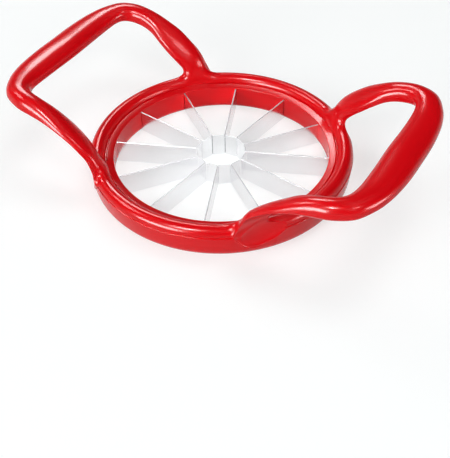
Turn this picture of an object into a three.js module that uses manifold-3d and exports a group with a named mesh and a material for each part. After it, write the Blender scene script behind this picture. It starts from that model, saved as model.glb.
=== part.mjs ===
// Apple slicer and corer: a one-piece moulded frame with two raised loop handles
// and twelve bent steel strips, whose backs meet in pairs to form the blades
// and whose middles form the twelve-sided corer.
// Millimetres, +Z up. The slicer rests on its foot at Z = 0, handles along X.
import * as THREE from 'three';
import Module from 'manifold-3d';

const wasm = await Module();
wasm.setup();
const { Manifold, Mesh } = wasm;

// cutting set
const cellCount = 12;
const bladePhaseDegrees = 22;
const bladeBottom = 0.4;
const bladeTop = 11.6;
const stripThickness = 0.26;
const weldGap = 0.06;
const cuttingEdgeThickness = 0.08;
const cuttingBevelHeight = 1.4;
const bendRadius = 0.6;
const bendSteps = 4;
const corerFacetDistance = 11.2;
const legDepth = 2.3;

// ring
const holeRadius = 50;
const wallFootHeight = 3.6;
const wallFlare = 3.2;
const ledgeInnerHeight = 12.2;
const ledgeEdgeChamfer = 0.25;
const ledgeWidth = 3.1;
const ledgeRise = 0.6;
const grooveWidth = 0.7;
const grooveDepth = 0.4;
const beadWidth = 7.1;
const beadHeight = 3.7;
const shoulderStep = 0.2;
const shoulderHeight = 11.8;
const bandTaper = 1.1;
const bandFootHeight = 2.7;
const bandFootRound = 1.9;
const footInset = 3.9;
const ringSegments = 120;
const beadSteps = 8;
const hullSteps = 4;
const cornerSteps = 4;

// radii that follow from the sizes above
const ledgeOuterRadius = holeRadius + ledgeWidth;
const beadInnerRadius = ledgeOuterRadius + grooveWidth;
const shoulderRadius = beadInnerRadius + beadWidth + shoulderStep;
const legReach = holeRadius + legDepth;

// pockets for the strip ends
const pocketClearance = 0.15;
const pocketOvercut = 2;

// handles
const gripReach = 95.4;
const gripHalfSpan = 49.6;
const gripHeight = 41.7;
const gripRise = 5.3;
const gripFall = 4.4;
const upperRoundness = 2.2;
const undersideRoundness = 1.6;
const stepsPerStation = 2;
const handleSectionPoints = 18;

// One row for each place along half a handle, from the middle of the grip
// down to the ring: the outer edge and then the inner edge, each as shares of
// reach, half span and height, and last the shares of rise and fall.
const gripShares = [
  [1.000, 0.000, 0.983, 0.834, 0.000, 0.969, 1.00, 1.00],
  [0.998, 0.298, 0.993, 0.838, 0.292, 0.966, 0.94, 0.92],
  [0.980, 0.571, 1.000, 0.836, 0.534, 0.971, 0.89, 0.84],
  [0.952, 0.738, 0.998, 0.830, 0.657, 0.981, 0.92, 0.82],
  [0.898, 0.895, 0.988, 0.816, 0.738, 0.978, 1.00, 0.80],
  [0.809, 0.976, 0.974, 0.785, 0.784, 0.954, 1.06, 0.77],
  [0.722, 0.994, 0.950, 0.724, 0.804, 0.914, 1.05, 0.68],
  [0.650, 1.000, 0.909, 0.665, 0.794, 0.861, 0.92, 0.48],
  [0.562, 1.006, 0.830, 0.601, 0.766, 0.763, 0.71, 0.27],
  [0.506, 1.000, 0.751, 0.556, 0.758, 0.676, 0.68, 0.18],
  [0.453, 0.994, 0.652, 0.518, 0.762, 0.580, 0.68, 0.09],
  [0.422, 0.990, 0.576, 0.492, 0.774, 0.501, 0.72, 0.02],
  [0.403, 0.994, 0.494, 0.474, 0.790, 0.436, 0.79, 0.00],
];
// The rows of the root, where the strap lies in the ring's band: each edge as
// its angle in degrees and its shares of the shoulder's radius and height,
// and last the shares of rise and fall.
const rootShares = [
  [53.5, 1.014, 1.449, 41.6, 0.976, 1.339, 0.89, 0.07],
  [54.8, 1.014, 1.178, 40.4, 0.989, 1.169, 0.94, 0.11],
  [54.4, 1.009, 0.941, 38.6, 0.995, 0.975, 0.94, 0.14],
  [52.5, 1.005, 0.729, 37.4, 0.991, 0.754, 0.94, 0.14],
  [49.8, 1.000, 0.534, 36.9, 0.988, 0.559, 0.94, 0.14],
  [46.7, 0.996, 0.407, 37.6, 0.983, 0.415, 0.87, 0.09],
  [43.5, 0.977, 0.339, 38.7, 0.975, 0.356, 0.75, 0.05],
];

const frameMaterial = new THREE.MeshStandardMaterial({
  name: 'red_moulding', color: 0xcc0a14, roughness: 0.22, metalness: 0,
});
const steelMaterial = new THREE.MeshStandardMaterial({
  name: 'blade_steel', color: 0xd6d8da, roughness: 0.25, metalness: 1,
});

// Turns a triangle list over shared points into a solid for joins and cuts.
function solidFrom(points, triangles) {
  const vertProperties = new Float32Array(points.flatMap((p) => [p.x, p.y, p.z]));
  const triVerts = new Uint32Array(triangles.flat());
  return new Manifold(new Mesh({ numProp: 3, vertProperties, triVerts }));
}

function geometryFrom(points, triangles) {
  const geometry = new THREE.BufferGeometry();
  const places = new Float32Array(points.flatMap((p) => [p.x, p.y, p.z]));
  geometry.setAttribute('position', new THREE.BufferAttribute(places, 3));
  geometry.setIndex(triangles.flat());
  geometry.computeVertexNormals();
  return geometry;
}

function geometryFromSolid(solid) {
  const mesh = solid.getMesh();
  const geometry = new THREE.BufferGeometry();
  const places = new Float32Array(mesh.numVert * 3);
  for (let i = 0; i < mesh.numVert; i += 1) {
    for (let axis = 0; axis < 3; axis += 1) {
      places[i * 3 + axis] = mesh.vertProperties[i * mesh.numProp + axis];
    }
  }
  geometry.setAttribute('position', new THREE.BufferAttribute(places, 3));
  geometry.setIndex(Array.from(mesh.triVerts));
  geometry.computeVertexNormals();
  return geometry;
}

// The places that round one corner of a section.
function roundedCorner(before, corner, after, reach) {
  const start = before.clone().sub(corner).setLength(reach).add(corner);
  const end = after.clone().sub(corner).setLength(reach).add(corner);
  return new THREE.QuadraticBezierCurve(start, corner, end).getPoints(cornerSteps);
}

// The ring's section as radius and height, counter-clockwise from the foot:
// band with a rounded foot, shoulder, half-round bead, groove, ledge and wall.
function ringSection() {
  const place = (radius, height) => new THREE.Vector2(radius, height);
  const foot = place(shoulderRadius - footInset, 0);
  const bandFoot = place(shoulderRadius - bandTaper, bandFootHeight);
  const shoulder = place(shoulderRadius, shoulderHeight);
  const section = [place(holeRadius + wallFlare, 0), foot];
  section.push(...roundedCorner(foot, bandFoot, shoulder, bandFootRound), shoulder);
  const ledgeOuterHeight = ledgeInnerHeight + ledgeRise;
  for (let i = 0; i <= beadSteps; i += 1) {
    const angle = (Math.PI * i) / beadSteps;
    const radius = beadInnerRadius + (beadWidth / 2) * (1 + Math.cos(angle));
    section.push(place(radius, ledgeOuterHeight - grooveDepth + beadHeight * Math.sin(angle)));
  }
  section.push(place(ledgeOuterRadius, ledgeOuterHeight));
  section.push(place(holeRadius + ledgeEdgeChamfer, ledgeInnerHeight));
  section.push(place(holeRadius, ledgeInnerHeight - ledgeEdgeChamfer));
  for (let i = 0; i < hullSteps; i += 1) {
    const angle = (Math.PI / 2) * (i / hullSteps);
    const radius = holeRadius + wallFlare * (1 - Math.cos(angle));
    section.push(place(radius, wallFootHeight * (1 - Math.sin(angle))));
  }
  return section;
}

function ringSolid() {
  const section = ringSection();
  const count = section.length;
  const points = [];
  const triangles = [];
  for (let s = 0; s < ringSegments; s += 1) {
    const angle = (2 * Math.PI * s) / ringSegments;
    for (const place of section) {
      points.push(new THREE.Vector3(place.x * Math.cos(angle), place.x * Math.sin(angle), place.y));
    }
    const next = (s + 1) % ringSegments;
    for (let i = 0; i < count; i += 1) {
      const j = (i + 1) % count;
      triangles.push([s * count + i, next * count + i, next * count + j]);
      triangles.push([s * count + i, next * count + j, s * count + j]);
    }
  }
  return solidFrom(points, triangles);
}

// One handle's two edges as smooth curves from root to root, and beside them
// a curve that carries the rise of the upper face and the fall of the lower.
function handleCurves() {
  const gripPlace = (reach, span, height) => (
    new THREE.Vector3(reach * gripReach, span * gripHalfSpan, height * gripHeight)
  );
  const rootPlace = (degrees, radius, height) => (
    new THREE.Vector3(radius * shoulderRadius, 0, height * shoulderHeight)
      .applyAxisAngle(new THREE.Vector3(0, 0, 1), THREE.MathUtils.degToRad(degrees))
  );
  const stationFrom = (row, placeFrom) => ({
    outer: placeFrom(row[0], row[1], row[2]),
    inner: placeFrom(row[3], row[4], row[5]),
    sizes: new THREE.Vector3(row[6] * gripRise, row[7] * gripFall, 0),
  });
  const half = gripShares.map((row) => stationFrom(row, gripPlace));
  half.push(...rootShares.map((row) => stationFrom(row, rootPlace)));
  const across = new THREE.Vector3(1, -1, 1);
  const mirrored = half.slice(1).reverse().map(({ outer, inner, sizes }) => ({
    outer: outer.clone().multiply(across),
    inner: inner.clone().multiply(across),
    sizes,
  }));
  const stations = mirrored.concat(half);
  const curveThrough = (key) => new THREE.CatmullRomCurve3(stations.map((station) => station[key]));
  return {
    outerEdge: curveThrough('outer'),
    innerEdge: curveThrough('inner'),
    sizes: curveThrough('sizes'),
    steps: (stations.length - 1) * stepsPerStation,
  };
}

// One cross-section: a flattened oval between the two edges, with a domed
// upper face and a flatter underside that meet in a crisp line.
function handleSection(curves, share) {
  const outer = curves.outerEdge.getPoint(share);
  const inner = curves.innerEdge.getPoint(share);
  const size = curves.sizes.getPoint(share);
  const along = curves.outerEdge.getTangent(share).add(curves.innerEdge.getTangent(share));
  const middle = outer.clone().add(inner).divideScalar(2);
  const half = outer.clone().sub(middle);
  const upward = half.clone().cross(along).normalize();
  const places = [];
  for (let i = 0; i < handleSectionPoints; i += 1) {
    const angle = (2 * Math.PI * i) / handleSectionPoints;
    const isUpper = Math.sin(angle) > 0;
    const power = 2 / (isUpper ? upperRoundness : undersideRoundness);
    const reach = Math.sign(Math.cos(angle)) * Math.abs(Math.cos(angle)) ** power;
    const height = Math.abs(Math.sin(angle)) ** power * (isUpper ? size.x : -size.y);
    places.push(middle.clone().addScaledVector(half, reach).addScaledVector(upward, height));
  }
  return places;
}

// One loop handle toward +X. Toward its roots the strap turns, so that its
// underside becomes the pad that lies in the ring's outer band.
function handleSolid() {
  const curves = handleCurves();
  const points = [];
  const triangles = [];
  for (let s = 0; s <= curves.steps; s += 1) {
    points.push(...handleSection(curves, s / curves.steps));
  }
  for (let s = 0; s < curves.steps; s += 1) {
    for (let i = 0; i < handleSectionPoints; i += 1) {
      const j = (i + 1) % handleSectionPoints;
      const here = s * handleSectionPoints;
      const there = here + handleSectionPoints;
      triangles.push([here + i, there + i, there + j]);
      triangles.push([here + i, there + j, here + j]);
    }
  }
  const end = curves.steps * handleSectionPoints;
  for (let i = 1; i < handleSectionPoints - 1; i += 1) {
    triangles.push([0, i, i + 1]);
    triangles.push([end, end + i + 1, end + i]);
  }
  return solidFrom(points, triangles);
}

// The slots that the strip ends run up into, open at the ring's underside.
function pocketSolid() {
  const width = 2 * stripThickness + weldGap + 2 * pocketClearance;
  const inner = holeRadius - pocketOvercut;
  const outer = legReach + pocketClearance;
  const top = bladeTop + pocketClearance;
  const size = [outer - inner, width, top + pocketOvercut];
  const slot = Manifold.cube(size).translate([inner, -width / 2, -pocketOvercut]);
  const slots = [];
  for (let i = 0; i < cellCount; i += 1) {
    slots.push(slot.rotate([0, 0, bladePhaseDegrees + (360 * i) / cellCount]));
  }
  return Manifold.union(slots);
}

function buildFrame() {
  const handle = handleSolid();
  const joined = Manifold.union([ringSolid(), handle, handle.rotate([0, 0, 180])]);
  const frame = joined.trimByPlane([0, 0, 1], 0).subtract(pocketSolid());
  const mesh = new THREE.Mesh(geometryFromSolid(frame), frameMaterial);
  mesh.name = 'frame';
  return mesh;
}

// The line down the middle of one strip's thickness, for the cell along +X:
// in along one leg, round the bend, across the corer facet and out again.
// Each place has the direction that faces the cell.
function stripLine() {
  const halfCell = Math.PI / cellCount;
  const legOffset = weldGap / 2 + stripThickness / 2;
  const along = new THREE.Vector2(Math.cos(halfCell), Math.sin(halfCell));
  const facing = new THREE.Vector2(Math.sin(halfCell), -Math.cos(halfCell));
  const turn = Math.PI / 2 - halfCell;
  const middleBendRadius = bendRadius + stripThickness / 2;
  const cornerReach = (corerFacetDistance - legOffset * facing.x) / along.x;
  const bendReach = cornerReach + middleBendRadius * Math.tan(turn / 2);
  const placeOnLeg = (reach) => along.clone().multiplyScalar(reach).addScaledVector(facing, legOffset);
  const bendCentre = placeOnLeg(bendReach).addScaledVector(facing, middleBendRadius);
  const half = [{ place: placeOnLeg(legReach), facing }];
  for (let i = 0; i <= bendSteps; i += 1) {
    const turned = facing.clone().rotateAround(new THREE.Vector2(), (turn * i) / bendSteps);
    half.push({ place: bendCentre.clone().addScaledVector(turned, -middleBendRadius), facing: turned });
  }
  const mirrored = half.map((spot) => ({
    place: new THREE.Vector2(spot.place.x, -spot.place.y),
    facing: new THREE.Vector2(spot.facing.x, -spot.facing.y),
  }));
  return half.concat(mirrored.reverse());
}

// A bent strip with its lower edge ground to a cutting edge on the cell side.
function stripGeometry() {
  const line = stripLine();
  const levels = [
    { height: bladeBottom, thickness: cuttingEdgeThickness },
    { height: bladeBottom + cuttingBevelHeight, thickness: stripThickness },
    { height: bladeTop, thickness: stripThickness },
  ];
  const points = [];
  const triangles = [];
  const quad = (a, b, c, d) => triangles.push([a, c, b], [a, d, c]);
  const indexOf = (spot, level, side) => (spot * levels.length + level) * 2 + side;
  for (const spot of line) {
    for (const level of levels) {
      for (const shift of [0, level.thickness]) {
        const place = spot.place.clone().addScaledVector(spot.facing, shift - stripThickness / 2);
        points.push(new THREE.Vector3(place.x, place.y, level.height));
      }
    }
  }
  const lastSpot = line.length - 1;
  const lastLevel = levels.length - 1;
  for (let s = 0; s < lastSpot; s += 1) {
    const next = s + 1;
    for (let k = 0; k < lastLevel; k += 1) {
      quad(indexOf(s, k, 0), indexOf(s, k + 1, 0), indexOf(next, k + 1, 0), indexOf(next, k, 0));
      quad(indexOf(s, k, 1), indexOf(next, k, 1), indexOf(next, k + 1, 1), indexOf(s, k + 1, 1));
    }
    quad(indexOf(s, 0, 0), indexOf(next, 0, 0), indexOf(next, 0, 1), indexOf(s, 0, 1));
    const top = [indexOf(s, lastLevel, 0), indexOf(s, lastLevel, 1)];
    quad(...top, indexOf(next, lastLevel, 1), indexOf(next, lastLevel, 0));
  }
  for (let k = 0; k < lastLevel; k += 1) {
    quad(indexOf(0, k, 0), indexOf(0, k, 1), indexOf(0, k + 1, 1), indexOf(0, k + 1, 0));
    const lower = [indexOf(lastSpot, k + 1, 1), indexOf(lastSpot, k, 1)];
    quad(indexOf(lastSpot, k, 0), indexOf(lastSpot, k + 1, 0), ...lower);
  }
  return geometryFrom(points, triangles);
}

function buildStrips() {
  const strips = [];
  for (let i = 0; i < cellCount; i += 1) {
    const strip = new THREE.Mesh(stripGeometry(), steelMaterial);
    strip.name = `blade_strip_${i + 1}`;
    strip.rotation.z = THREE.MathUtils.degToRad(bladePhaseDegrees + (360 * (i + 0.5)) / cellCount);
    strips.push(strip);
  }
  return strips;
}

const slicer = new THREE.Group();
slicer.name = 'apple_slicer';
slicer.add(buildFrame(), ...buildStrips());

export default slicer;
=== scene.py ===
import math
import bmesh
import bpy
from mathutils import Matrix, Vector
from mathutils.bvhtree import BVHTree


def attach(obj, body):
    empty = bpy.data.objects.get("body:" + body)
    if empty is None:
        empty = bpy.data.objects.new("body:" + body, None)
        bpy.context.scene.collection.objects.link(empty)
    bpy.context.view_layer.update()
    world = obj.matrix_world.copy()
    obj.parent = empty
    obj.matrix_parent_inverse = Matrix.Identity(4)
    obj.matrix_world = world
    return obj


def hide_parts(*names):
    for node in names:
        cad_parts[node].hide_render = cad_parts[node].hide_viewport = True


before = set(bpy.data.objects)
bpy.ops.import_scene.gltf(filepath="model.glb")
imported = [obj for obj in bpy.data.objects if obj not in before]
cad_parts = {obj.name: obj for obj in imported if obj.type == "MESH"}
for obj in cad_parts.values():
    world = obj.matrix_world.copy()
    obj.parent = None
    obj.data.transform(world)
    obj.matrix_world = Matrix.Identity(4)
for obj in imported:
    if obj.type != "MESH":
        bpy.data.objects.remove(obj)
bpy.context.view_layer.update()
mm = 0.001  # values are in millimetres and degrees, and the scene is in metres
tiny = 1e-7


def moved(x, y, z):
    return Matrix.Translation((x * mm, y * mm, z * mm))


def sized(x, y, z):
    return Matrix.Diagonal((x * mm, y * mm, z * mm, 1))


def turnedBy(degrees, axis):
    return Matrix.Rotation(math.radians(degrees), 4, axis)


# A place round the slicer, seen from its foot, whose local Z points away from it
def standingAt(azimuth, elevation, distance, roll=0):
    turn, lift = math.radians(azimuth), math.radians(elevation)
    away = Vector((math.cos(lift) * math.cos(turn), math.cos(lift) * math.sin(turn), math.sin(lift)))
    facing = away.to_track_quat("Z", "Y").to_matrix().to_4x4()
    return moved(*(away * distance)) @ facing @ turnedBy(roll, "Z")


def smoothStep(low, high, value):
    share = min(max((value - low) / (high - low), 0), 1)
    return share * share * (3 - 2 * share)


def between(low, high, share):
    return low + (high - low) * share


# A smooth curve through the rows, with every number of a row carried along.
# The spans are weighed by the root of their length, so that it stays smooth between close rows.
def curvePoint(rows, place):
    count = len(rows)
    index = min(int(place), count - 2)
    share = place - index
    near, far = rows[index], rows[index + 1]
    before = rows[index - 1] if index > 0 else [2 * a - b for a, b in zip(near, far)]
    after = rows[index + 2] if index + 2 < count else [2 * b - a for a, b in zip(near, far)]
    s0, s1, s2 = (math.sqrt(math.dist(a[0:3], b[0:3]) + math.dist(a[3:6], b[3:6]))
                  for a, b in ((before, near), (near, far), (far, after)))
    result = []
    for p0, p1, p2, p3 in zip(before, near, far, after):
        leave = ((p1 - p0) / s0 - (p2 - p0) / (s0 + s1) + (p2 - p1) / s1) * s1
        arrive = ((p2 - p1) / s1 - (p3 - p1) / (s1 + s2) + (p3 - p2) / s2) * s1
        bend = 3 * (p2 - p1) - 2 * leave - arrive
        twist = 2 * (p1 - p2) + leave + arrive
        result.append(p1 + leave * share + bend * share ** 2 + twist * share ** 3)
    return result


# The direction of a path of points at one of them
def wayAlong(path, index):
    return (path[min(index + 1, len(path) - 1)] - path[max(index - 1, 0)]).normalized()


# Rounds the corners of a closed outline. Each place is x, y and how far its rounding reaches.
def roundedOutline(places, steps):
    nearHalf = 0.49
    outline = []
    for i, (x, y, rounding) in enumerate(places):
        if not rounding:
            outline.append((x, y))
            continue
        corner = Vector((x, y))
        toBefore = Vector(places[i - 1][:2]) - corner
        toAfter = Vector(places[(i + 1) % len(places)][:2]) - corner
        start = corner + toBefore.normalized() * min(rounding, toBefore.length * nearHalf)
        end = corner + toAfter.normalized() * min(rounding, toAfter.length * nearHalf)
        for k in range(steps + 1):
            t = k / steps
            point = start * (1 - t) ** 2 + corner * (2 * t * (1 - t)) + end * t ** 2
            outline.append(tuple(point))
    return outline


# Draws the first outline, extrudes it from each outline to the next and fills both ends
def loft(outlines):
    bm = bmesh.new()
    verts = [bm.verts.new(point * mm) for point in outlines[0]]
    edges = [bm.edges.new((verts[i - 1], verts[i])) for i in range(len(verts))]
    for outline in outlines[1:]:
        grown = bmesh.ops.extrude_edge_only(bm, edges=edges)["geom"]
        verts = [part for part in grown if isinstance(part, bmesh.types.BMVert)]
        edges = [part for part in grown if isinstance(part, bmesh.types.BMEdge) and part.is_boundary]
        for vert, point in zip(verts, outline):
            vert.co = point * mm
    bmesh.ops.holes_fill(bm, edges=bm.edges, sides=0)
    return bm


def newPiece(name, bm):
    bmesh.ops.recalc_face_normals(bm, faces=bm.faces)
    mesh = bpy.data.meshes.new(name)
    bm.to_mesh(mesh)
    bm.free()
    piece = bpy.data.objects.new(name, mesh)
    bpy.context.scene.collection.objects.link(piece)
    return piece


def shadeByAngle(piece, degrees):
    piece.data.shade_smooth()
    piece.data.set_sharp_from_angle(angle=math.radians(degrees))


# Joins other closed pieces to a piece, or cuts them out of it, and removes them
def joinPieces(piece, others, operation):
    for other in others:
        modifier = piece.modifiers.new("join", "BOOLEAN")
        modifier.operation = operation
        modifier.solver = "MANIFOLD"
        modifier.object = other
    bpy.context.view_layer.update()
    joined = bpy.data.meshes.new_from_object(piece.evaluated_get(bpy.context.evaluated_depsgraph_get()))
    piece.modifiers.clear()
    piece.data = joined
    for other in others:
        bpy.data.objects.remove(other)


# The ring: heights over the worktop and radii from its axis
ring = {
    "holeRadius": 50, "wallFoot": 3.6, "wallSteps": 9,
    "footInner": 53.2, "footInnerRound": 0.4, "footOuter": 57.2, "footOuterRound": 0.3,
    "bandFoot": 60, "bandFootHeight": 2.7, "bandFootRound": 1.9,
    "shoulderRadius": 61.1, "shoulderHeight": 11.8, "shoulderRound": 0.3,
    "seamWidth": 0.48, "seamRise": 0.2,
    "beadWidth": 7.1, "beadHeight": 3.7, "beadSteps": 28,
    "grooveWidth": 0.7, "grooveDepth": 0.5, "grooveLean": (0.05, 0.2), "grooveRound": 0.2, "beadSink": 0.1,
    "ledgeWidth": 3.1, "ledgeHeight": 12.2, "ledgeRise": 0.6, "ledgeRound": 0.35,
    "cornerSteps": 5, "turnSteps": 288,
}


# The ring's section, from the foot up the band, over bead, groove and ledge and down the inner wall
def ringOutline():
    v = ring
    ledgeOuter = v["holeRadius"] + v["ledgeWidth"]
    ledgeTop = v["ledgeHeight"] + v["ledgeRise"]
    beadInner = ledgeOuter + v["grooveWidth"]
    halfBead = v["beadWidth"] / 2
    grooveFloor = ledgeTop - v["grooveDepth"]
    places = [
        (v["footInner"], 0, v["footInnerRound"]),
        (v["footOuter"], 0, v["footOuterRound"]),
        (v["bandFoot"], v["bandFootHeight"], v["bandFootRound"]),
        (v["shoulderRadius"], v["shoulderHeight"], v["shoulderRound"]),
        (v["shoulderRadius"] - v["seamWidth"], v["shoulderHeight"] + v["seamRise"], 0),
    ]
    for i in range(1, v["beadSteps"]):
        angle = math.pi * i / v["beadSteps"]
        height = grooveFloor + v["beadSink"] + v["beadHeight"] * math.sin(angle)
        places.append((beadInner + halfBead * (1 + math.cos(angle)), height, 0))
    places += [
        (beadInner + v["grooveLean"][0], grooveFloor, v["grooveRound"]),
        (ledgeOuter + v["grooveLean"][1], grooveFloor, v["grooveRound"]),
        (ledgeOuter, ledgeTop, v["grooveRound"]),
        (v["holeRadius"], v["ledgeHeight"], v["ledgeRound"]),
    ]
    for i in range(v["wallSteps"]):
        angle = math.pi / 2 * i / v["wallSteps"]
        radius = between(v["footInner"], v["holeRadius"], math.cos(angle))
        places.append((radius, v["wallFoot"] * (1 - math.sin(angle)), 0))
    return roundedOutline(places, v["cornerSteps"])


def buildRing():
    bm = bmesh.new()
    outline = [bm.verts.new((radius * mm, 0, height * mm)) for radius, height in ringOutline()]
    edges = [bm.edges.new((outline[i - 1], outline[i])) for i in range(len(outline))]
    bmesh.ops.spin(bm, geom=outline + edges, cent=(0, 0, 0), axis=(0, 0, 1), dvec=(0, 0, 0),
                   angle=math.tau, steps=ring["turnSteps"], use_merge=True, use_duplicate=False)
    bmesh.ops.remove_doubles(bm, verts=bm.verts, dist=1e-6)
    return newPiece("ring", bm)


# The handles. Each row is a place along half of one, from the middle of the grip to the root:
# outer edge, inner edge, rise of the upper face and fall of the underside.
handle = {
    "rows": [
        [95.38, 0.0, 41.0, 79.6, 0.0, 40.4, 5.3, 4.4],
        [95.2, 14.8, 41.4, 79.9, 14.5, 40.3, 4.96, 4.06],
        [93.5, 28.3, 41.7, 79.8, 26.5, 40.5, 4.73, 3.71],
        [90.8, 36.6, 41.6, 79.2, 32.6, 40.9, 4.85, 3.59],
        [85.7, 44.4, 41.2, 77.8, 36.6, 40.8, 5.2, 3.53],
        [77.2, 48.4, 40.6, 74.9, 38.9, 39.8, 5.55, 3.38],
        [68.9, 49.3, 39.6, 69.1, 39.9, 38.1, 5.5, 2.99],
        [62.0, 49.6, 37.9, 63.4, 39.4, 35.9, 4.89, 2.1],
        [53.6, 49.9, 34.6, 57.3, 38.0, 31.8, 3.78, 1.2],
        [48.3, 49.6, 31.3, 53.0, 37.6, 28.2, 3.6, 0.8],
        [43.2, 49.3, 27.2, 49.4, 37.8, 25.0, 3.6, 0.3],
        [40.2, 48.9, 24.0, 46.9, 38.4, 22.2, 3.8, 0.0],
        [38.1, 49.0, 20.2, 45.2, 39.2, 19.6, 4.2, -0.1],
        [36.6, 49.4, 16.8, 44.6, 39.6, 16.8, 4.7, -0.1],
        [35.4, 50.1, 13.7, 46.0, 39.2, 14.0, 5.0, -0.2],
        [35.55, 49.5, 11.0, 47.5, 37.9, 11.5, 5.0, -0.3],
        [37.0, 48.2, 8.6, 48.1, 36.8, 8.9, 5.0, -0.2],
        [39.1, 46.3, 6.3, 48.3, 36.2, 6.6, 5.0, 0.0],
        [41.4, 44.0, 4.8, 47.6, 36.6, 4.9, 4.6, 0.1],
        [43.3, 41.1, 4.0, 46.5, 37.2, 4.2, 4.0, 0.1],
    ],
    "stepsPerRow": 9, "topPoints": 26, "undersidePoints": 20, "cornerSteps": 4,
    "topRoundness": 2.2, "undersideRoundness": 1.6,
    "outerEdge": 0.6, "innerEdge": 0.5, "edgeRound": 0.25,
    # the flat land along the outer edge, the rows between which it comes in, and its share up to the dome
    "land": 0.3, "landRows": (8.5, 11.5), "landShare": 0.8, "landGap": 0.02,
}


# A flattened oval between the two edges: a domed upper face and a flatter underside
def strapSection(values, along, land):
    v = handle
    outer, inner = Vector(values[0:3]), Vector(values[3:6])
    rise, fall = values[6:8]
    middle = (outer + inner) / 2
    half = (outer - inner).length / 2
    across = (outer - inner).normalized()
    normal = across.cross(along).normalized()
    outerHalf, innerHalf = v["outerEdge"] / 2, v["innerEdge"] / 2
    landInner = half - land * v["landShare"] - v["landGap"]
    places = [(half, outerHalf, v["edgeRound"]), (landInner, outerHalf, 0)]
    for i in range(1, v["topPoints"]):
        angle = math.pi * i / v["topPoints"]
        power = 2 / v["topRoundness"]
        x = math.copysign(abs(math.cos(angle)) ** power, math.cos(angle))
        lift = between(innerHalf, outerHalf, (x + 1) / 2)
        places.append(((x + 1) * (half - land / 2) - half, between(lift, rise, math.sin(angle) ** power), 0))
    places += [(-half, innerHalf, v["edgeRound"]), (-half, -innerHalf, v["edgeRound"])]
    for i in range(1, v["undersidePoints"]):
        angle = math.pi * i / v["undersidePoints"]
        power = 2 / v["undersideRoundness"]
        x = -math.copysign(abs(math.cos(angle)) ** power, math.cos(angle))
        lift = between(innerHalf, outerHalf, (x + 1) / 2)
        places.append((x * half, -between(lift, fall, math.sin(angle) ** power), 0))
    places.append((half, -outerHalf, v["edgeRound"]))
    return [middle + across * x + normal * y for x, y in roundedOutline(places, v["cornerSteps"])]


# One handle from root to root; side is 1 for the right handle and -1 for the left
def buildHandle(name, side):
    v = handle
    # the half toward -Y first, from its root to just before the middle of the grip
    mirrored = [[a, -b, c, d, -e, f, g, h] for a, b, c, d, e, f, g, h in v["rows"][:0:-1]]
    rows = mirrored + v["rows"]
    steps = (len(rows) - 1) * v["stepsPerRow"]
    spots = [curvePoint(rows, s / v["stepsPerRow"]) for s in range(steps + 1)]
    middles = [(Vector(spot[0:3]) + Vector(spot[3:6])) / 2 for spot in spots]
    outlines = []
    for s, spot in enumerate(spots):
        row = abs(s / v["stepsPerRow"] - len(mirrored))
        section = strapSection(spot, wayAlong(middles, s), v["land"] * smoothStep(*v["landRows"], row))
        outlines.append([Vector((p.x * side, p.y * side, p.z)) for p in section])
    return newPiece(name, loft(outlines))


# The thin raised line along a strap's outer edge and round its leaf; start and end
# are the rows of the handle between which it grows and between which it thins
rim = {
    "radius": 0.42, "startRadius": 0.1, "start": (8.4, 10.4), "end": (17.5, 19), "thin": 0.5,
    "sink": 0.1, "points": 16, "stepsPerRow": 8,
}


def buildRim(side, flip):
    v = rim
    first, last = v["start"][0], len(handle["rows"]) - 1
    steps = int((last - first) * v["stepsPerRow"])
    rows = [between(first, last, k / steps) for k in range(steps + 1)]
    path = []
    for row in rows:
        x, y, z = curvePoint(handle["rows"], row)[0:3]
        sunk = 1 - v["sink"] / math.hypot(x, y)
        path.append(Vector((x * sunk * side, y * sunk * side * flip, z)))
    turns = [math.tau * i / v["points"] for i in range(v["points"])]
    outlines = []
    for k, (row, point) in enumerate(zip(rows, path)):
        along = wayAlong(path, k)
        out = along.cross(Vector((point.x, point.y, 0))).normalized()
        up = along.cross(out)
        radius = between(v["startRadius"], v["radius"], smoothStep(*v["start"], row))
        radius *= 1 - v["thin"] * smoothStep(*v["end"], row)
        outlines.append([point + (out * math.cos(t) + up * math.sin(t)) * radius for t in turns])
    return newPiece("rim", loft(outlines))


# The shallow dish in each leaf: where it lies on the band, its lean, and its half sizes
scoop = {
    "turn": 41.8, "radius": 61.1, "height": 13.5, "tilt": 21,
    "halfLength": 12.6, "halfHeight": 6.9, "depth": 2.1, "segments": 96, "rings": 64,
}


def buildScoops():
    v = scoop
    bm = bmesh.new()
    place = turnedBy(-v["turn"], "Z") @ moved(v["radius"], 0, v["height"]) @ turnedBy(v["tilt"], "X")
    dish = place @ sized(v["depth"], v["halfLength"], v["halfHeight"])
    for x, y in ((1, 1), (1, -1), (-1, 1), (-1, -1)):
        bmesh.ops.create_uvsphere(bm, u_segments=v["segments"], v_segments=v["rings"], radius=1,
                                  matrix=Matrix.Diagonal((x, y, 1, 1)) @ dish)
    return newPiece("scoops", bm)


# Fillets where the straps grow out of the ring. They reach by inside on the ring's inner side, by outside
# on its outer side (right handle, left handle) and by behind toward the grips. The radii, the turns
# (as Y over X) and the heights are where one reach passes into the next, and the zone is where they may be.
fillet = {
    "inside": 6, "outside": (1.8, 3), "insideRadius": 56.5, "outsideRadius": 61.5,
    "behind": 5, "behindTurns": (0.95, 1.15), "low": 11.2, "high": 13,
    "zoneRadius": 75, "zoneTop": 30, "zoneSide": 25,
    "rounds": 6, "step": 0.7, "leastWay": 0.2,
}


def treeOf(piece):
    bm = bmesh.new()
    bm.from_mesh(piece.data)
    tree = BVHTree.FromBMesh(bm)
    bm.free()
    return tree


# Signed distance to a closed skin, and the direction away from it
def distanceTo(tree, point):
    place, normal, _, distance = tree.find_nearest(point)
    if distance < tiny:
        return 0, normal
    away = point - place
    sign = 1 if away.dot(normal) > 0 else -1
    return sign * distance, away * (sign / distance)


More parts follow.
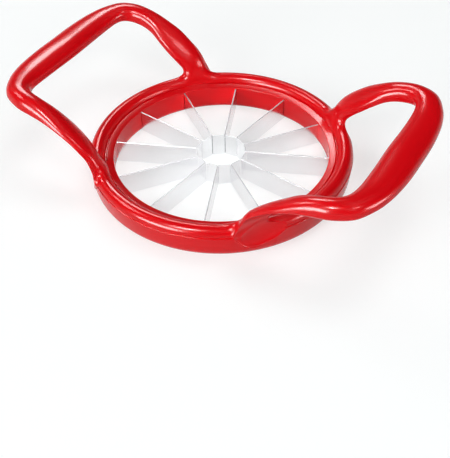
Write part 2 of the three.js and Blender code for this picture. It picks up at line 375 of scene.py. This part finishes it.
def filletSize(point, handleIndex):
    v = fillet
    ahead = smoothStep(*v["behindTurns"], abs(point.y / point.x))
    outside = between(v["behind"], v["outside"][handleIndex], ahead)
    outward = smoothStep(v["insideRadius"], v["outsideRadius"], math.hypot(point.x, point.y) / mm)
    return between(v["inside"], outside, outward) * smoothStep(v["low"], v["high"], point.z / mm) * mm


# The step that takes a point on to the blend of both skins, or nothing where they are far apart
def stepToFillet(point, ringTree, strapTree, size):
    ringGap, ringWay = distanceTo(ringTree, point)
    strapGap, strapWay = distanceTo(strapTree, point)
    if size < tiny or abs(ringGap - strapGap) >= size:
        return None
    share = 1 - abs(ringGap - strapGap) / size
    gap = min(ringGap, strapGap) - share * share * size / 4
    nearRing = 1 - share / 2 if ringGap < strapGap else share / 2
    way = ringWay * nearRing + strapWay * (1 - nearRing)
    if way.length < fillet["leastWay"]:
        return None
    return way * (-gap * fillet["step"] / way.length_squared)


def filletRoots(piece, ringTree, strapTrees):
    v = fillet
    for vertex in piece.data.vertices:
        point = vertex.co.copy()
        isNear = math.hypot(point.x, point.y) <= v["zoneRadius"] * mm and abs(point.x) >= v["zoneSide"] * mm
        if not isNear or not v["low"] * mm <= point.z <= v["zoneTop"] * mm:
            continue
        handleIndex = 0 if point.x > 0 else 1
        for _ in range(v["rounds"]):
            step = stepToFillet(point, ringTree, strapTrees[handleIndex], filletSize(point, handleIndex))
            if step is None:
                break
            point += step
        vertex.co = point


# The bent strips of the cutting set; phase is the turn of the first blade
blades = {
    "count": 12, "phase": 22, "bottom": 0.4, "top": 11.6, "thickness": 0.26, "gap": 0.06,
    "cuttingEdge": 0.08, "bevelHeight": 1.4, "crown": 0.05,
    "facetDistance": 11.2, "reach": 52.3, "legSteps": 6, "bendRadius": 0.6, "bendSteps": 8, "smoothAngle": 30,
}


def bladeTurn(place):
    return turnedBy(blades["phase"] + 360 * place / blades["count"], "Z")


# A strip from above: in along one leg, round the bend, across the corer facet and out again
def stripLine():
    v = blades
    halfCell = math.pi / v["count"]
    offset = v["gap"] / 2 + v["thickness"] / 2
    along = Vector((math.cos(halfCell), math.sin(halfCell)))
    facing = Vector((math.sin(halfCell), -math.cos(halfCell)))
    turn = math.pi / 2 - halfCell
    bend = v["bendRadius"] + v["thickness"] / 2
    corner = (v["facetDistance"] - offset * facing.x) / along.x
    start = corner + bend * math.tan(turn / 2)
    centre = along * start + facing * (offset + bend)
    line = []
    for k in range(v["legSteps"]):
        line.append((along * between(v["reach"], start, k / v["legSteps"]) + facing * offset, facing))
    for i in range(v["bendSteps"] + 1):
        turned = facing.copy()
        turned.rotate(Matrix.Rotation(turn * i / v["bendSteps"], 2))
        line.append((centre - turned * bend, turned))
    return line + [(Vector((p.x, -p.y)), Vector((f.x, -f.y))) for p, f in reversed(line)]


def buildStrip(index):
    v = blades
    half, bottom, top, crown = v["thickness"] / 2, v["bottom"], v["top"], v["crown"]
    section = [(-half, bottom), (-half + v["cuttingEdge"], bottom), (half, bottom + v["bevelHeight"]),
               (half, top - crown), (half - crown, top), (-half + crown, top), (-half, top - crown)]
    turn = bladeTurn(index + 0.5)
    outlines = []
    for place, facing in stripLine():
        outlines.append([turn @ Vector((*(place + facing * x), z)) for x, z in section])
    piece = newPiece(f"strip_{index + 1}", loft(outlines))
    shadeByAngle(piece, v["smoothAngle"])
    return piece


# The slots in the ring's wall that the strip ends run up into, open at its underside
slot = {"clearance": 0.15, "overcut": 2}


def buildSlots():
    width = 2 * blades["thickness"] + blades["gap"] + 2 * slot["clearance"]
    inner = ring["holeRadius"] - slot["overcut"]
    outer = blades["reach"] + slot["clearance"]
    top = blades["top"] + slot["clearance"]
    place = moved((inner + outer) / 2, 0, (top - slot["overcut"]) / 2)
    block = place @ sized(outer - inner, width, top + slot["overcut"])
    bm = bmesh.new()
    for i in range(blades["count"]):
        bmesh.ops.create_cube(bm, size=1, matrix=bladeTurn(i) @ block)
    return newPiece("slots", bm)


# The whole moulding, joined from its parts
moulding = {"smoothAngle": 38}


def buildFrame():
    piece = buildRing()
    straps = [buildHandle("handleRight", 1), buildHandle("handleLeft", -1)]
    ringTree = treeOf(piece)
    strapTrees = [treeOf(strap) for strap in straps]
    joinPieces(piece, straps, "UNION")
    filletRoots(piece, ringTree, strapTrees)
    joinPieces(piece, [buildScoops()], "DIFFERENCE")
    joinPieces(piece, [buildRim(side, flip) for side in (1, -1) for flip in (1, -1)], "UNION")
    joinPieces(piece, [buildSlots()], "DIFFERENCE")
    piece.name = "moulded_frame"
    shadeByAngle(piece, moulding["smoothAngle"])
    return piece


# A node's output, on which arithmetic adds Math nodes
class Socket:
    def __init__(self, nodes, output):
        self.nodes = nodes
        self.output = output

    def math(self, operation, first, second):
        return self.nodes.add("ShaderNodeMath", {"operation": operation}, {0: first, 1: second})

    def __add__(self, other):
        return self.math("ADD", self, other)

    def __mul__(self, other):
        return self.math("MULTIPLY", self, other)

    __radd__ = __add__
    __rmul__ = __mul__

    def orMore(self, other):
        return self.math("MAXIMUM", self, other)


class Nodes:
    def __init__(self, tree):
        self.tree = tree

    # Adds any node: its settings are set first, then the values or links of its sockets
    def add(self, kind, settings, inputs, output=0):
        node = self.tree.nodes.new(kind)
        for name, value in settings.items():
            setattr(node, name, value)
        self.feed(node, inputs)
        return Socket(self, node.outputs[output])

    def feed(self, node, inputs):
        for name, value in inputs.items():
            if isinstance(value, Socket):
                self.tree.links.new(value.output, node.inputs[name])
            else:
                node.inputs[name].default_value = value

    def objectPlace(self):
        return self.add("ShaderNodeTexCoord", {}, {}, "Object")

    def noise(self, scale, detail):
        sockets = {"Vector": self.objectPlace(), "Scale": scale, "Detail": detail, "Roughness": 0.5}
        return self.add("ShaderNodeTexNoise", {}, sockets, "Fac")

    def heightOf(self, place):
        return self.add("ShaderNodeSeparateXYZ", {}, {"Vector": place}, "Z")

    def mapped(self, value, low, high, toLow=0, toHigh=1):
        sockets = {"Value": value, "From Min": low, "From Max": high, "To Min": toLow, "To Max": toHigh}
        return self.add("ShaderNodeMapRange", {}, sockets)

    def blend(self, share, low, high):
        sockets = {"Factor": share, "A": (*low, 1), "B": (*high, 1)}
        return self.add("ShaderNodeMix", {"data_type": "RGBA"}, sockets, "Result")

    def ray(self, kind):
        return self.add("ShaderNodeLightPath", {}, {}, f"Is {kind} Ray")


def newMaterial(name):
    material = bpy.data.materials.new(name)
    material.use_nodes = True
    return material, Nodes(material.node_tree), material.node_tree.nodes["Principled BSDF"]


redGloss = {
    "deep": (0.72, 0.0008, 0.004), "bright": (0.80, 0.0012, 0.006), "cloudScale": 28,
    "roughness": 0.18, "roughnessSpread": 0.05, "ior": 1.33,
    "peelScale": 420, "peelStrength": 0.004, "peelDepth": 0.0002,  # a trace of the mould's texture
}


def redMoulding():
    v = redGloss
    material, nodes, shader = newMaterial("red_moulding")
    cloud = nodes.noise(v["cloudScale"], 3)
    peel = nodes.noise(v["peelScale"], 2)
    relief = {"Strength": v["peelStrength"], "Distance": v["peelDepth"], "Height": peel}
    nodes.feed(shader, {
        "Base Color": nodes.blend(cloud, v["deep"], v["bright"]),
        "Roughness": v["roughness"] + cloud * v["roughnessSpread"],
        "Normal": nodes.add("ShaderNodeBump", {}, relief),
        "IOR": v["ior"],
    })
    return material


# Satin sheet with a random mottle, and painted shade on the narrow upper edge: a dull grey that tones down
# the highlight it catches. The edge heights are where that painted shade starts and is full, in metres.
satinSteel = {
    "sheet": (0.96, 0.96, 0.97), "mottleAndEdgeShade": (0.42, 0.42, 0.44), "cloudScale": 60, "cloudShare": 0.12,
    "shadedTopEdge": (0.0115, 0.01155), "edgeShadeShare": 0.8,
    "roughness": 0.14, "roughnessSpread": 0.1, "topRoughness": 0.3,
}


def bladeSteel():
    v = satinSteel
    material, nodes, shader = newMaterial("blade_steel")
    cloud = nodes.noise(v["cloudScale"], 3)
    shadedTopEdge = nodes.mapped(nodes.heightOf(nodes.objectPlace()), *v["shadedTopEdge"])
    # painted shade: the top edge is blended to dull grey to tone down its highlight; the cloud adds a random
    # mottle
    mottleAndShade = cloud * v["cloudShare"] + shadedTopEdge * v["edgeShadeShare"]
    nodes.feed(shader, {
        "Base Color": nodes.blend(mottleAndShade, v["sheet"], v["mottleAndEdgeShade"]),
        "Roughness": v["roughness"] + cloud * v["roughnessSpread"] + shadedTopEdge * v["topRoughness"],
        "Metallic": 1,
    })
    return material


# The floor: its colour as light on the slicer, and what the camera sees of it, which is a glow and
# a share that takes shadows. Mirrored is how much of the seen floor shows in reflections.
paper = {
    "lit": (0.66, 0.66, 0.66), "roughness": 0.8, "glow": (0.64, 0.645, 0.645), "shadowed": (0.41, 0.43, 0.43),
    "mirrored": 0.78, "size": 6,
}


def floorPaper():
    v = paper
    material, nodes, lit = newMaterial("floor_paper")
    nodes.feed(lit, {"Base Color": (*v["lit"], 1), "Roughness": v["roughness"], "Specular IOR Level": 0})
    glow = nodes.add("ShaderNodeEmission", {}, {"Color": (*v["glow"], 1)})
    shadowed = nodes.add("ShaderNodeBsdfDiffuse", {}, {"Color": (*v["shadowed"], 1)})
    seen = nodes.add("ShaderNodeAddShader", {}, {0: glow, 1: shadowed})
    isSeen = nodes.ray("Camera").orMore(nodes.ray("Glossy") * v["mirrored"]).orMore(nodes.ray("Transmission"))
    paperLook = nodes.add("ShaderNodeMixShader", {}, {0: isSeen, 1: Socket(nodes, lit.outputs[0]), 2: seen})
    nodes.feed(material.node_tree.nodes["Material Output"], {"Surface": paperLook})
    return material


# The world: white to the camera, and as light a pale horizon that fades to a dark ceiling.
# Top is where it has faded, as the sine of the elevation.
room = {"white": (1, 1, 1), "horizon": 0.6, "overhead": 0.04, "top": 0.25}


def buildRoom():
    v = room
    world = bpy.data.worlds.new("studio")
    bpy.context.scene.world = world
    world.use_nodes = True
    nodes = Nodes(world.node_tree)
    direction = nodes.add("ShaderNodeTexCoord", {}, {}, "Generated")
    walls = nodes.mapped(nodes.heightOf(direction), 0, v["top"], v["horizon"], v["overhead"])
    strength = nodes.ray("Camera").orMore(nodes.ray("Transmission")).orMore(walls)
    nodes.feed(world.node_tree.nodes["Background"], {"Color": (*v["white"], 1), "Strength": strength})


# Each softbox: name, azimuth, elevation, width and height in metres, radiance. Those for gloss
# show in reflections alone, and those for shade light the surfaces without being seen in them.
softboxes = {
    "distance": 1200,
    "gloss": [
        ("front", -108, 13, 0.7, 0.36, 36),
        ("left", -160, 45, 0.34, 0.3, 16),
        ("frontTop", -95, 52, 0.24, 0.18, 90),
        ("back", 134, 42, 0.36, 0.25, 20),
        ("right", 10, 11, 0.56, 0.38, 19),
        ("rightTop", -14, 54, 0.28, 0.28, 12),
    ],
    "shade": [
        ("rightShade", -38, 42, 0.6, 0.6, 3.8),
        ("frontShade", -104, 27, 0.6, 0.6, 6.4),
        ("leftShade", 172, 26, 0.6, 0.5, 4.4),
        ("topShade", 60, 72, 0.6, 0.6, 3.3),
    ],
}


def addSoftbox(name, azimuth, elevation, width, height, radiance, isGloss):
    light = bpy.data.lights.new(name, "AREA")
    light.shape = "RECTANGLE"
    light.size = width
    light.size_y = height
    light.energy = radiance * math.pi * width * height
    lamp = bpy.data.objects.new(name, light)
    bpy.context.scene.collection.objects.link(lamp)
    lamp.matrix_world = standingAt(azimuth, elevation, softboxes["distance"])
    lamp.visible_diffuse = not isGloss
    lamp.visible_glossy = isGloss


# The photograph's viewpoint: aimHeight is the height over the foot that its axis passes,
# and axisPixel is where that axis meets the picture
camera = {
    "azimuth": -58.7893, "elevation": 38.9219, "roll": -1.5015, "distance": 452.06, "aimHeight": 2.8,
    "lens": 75.34, "sensor": 36, "picture": (450, 458), "axisPixel": (221.7, 164.45),
}


def placeCamera():
    v = camera
    lens = bpy.data.cameras.new("camera")
    piece = bpy.data.objects.new("camera", lens)
    bpy.context.scene.collection.objects.link(piece)
    view = standingAt(v["azimuth"], v["elevation"], v["distance"], v["roll"])
    piece.matrix_world = moved(0, 0, v["aimHeight"]) @ view
    lens.lens = v["lens"]
    lens.sensor_width = v["sensor"]
    width, height = v["picture"]
    x, y = v["axisPixel"]
    lens.shift_x = (width / 2 - x) / max(width, height)
    lens.shift_y = (y - height / 2) / max(width, height)
    bpy.context.scene.camera = piece


print("stage: camera")
placeCamera()

print("stage: frame")
framePiece = buildFrame()
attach(framePiece, "root")
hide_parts("frame")
print("frame triangles", sum(len(face.vertices) - 2 for face in framePiece.data.polygons))

print("stage: blades")
strips = [buildStrip(i) for i in range(blades["count"])]
for i, strip in enumerate(strips):
    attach(strip, "root")
    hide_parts(f"blade_strip_{i + 1}")

print("stage: materials")
red, steel = redMoulding(), bladeSteel()
framePiece.data.materials.clear()
framePiece.data.materials.append(red)
for strip in strips:
    strip.data.materials.append(steel)
for name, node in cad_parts.items():
    node.data.materials.clear()
    node.data.materials.append(steel if name.startswith("blade") else red)

print("stage: floor and lights")
bpy.ops.mesh.primitive_plane_add(size=paper["size"])
floor = bpy.context.object
floor.name = "floor"
floor.data.materials.append(floorPaper())
for row in softboxes["gloss"]:
    addSoftbox(*row, True)
for row in softboxes["shade"]:
    addSoftbox(*row, False)
buildRoom()
bpy.context.scene.view_settings.view_transform = "Standard"
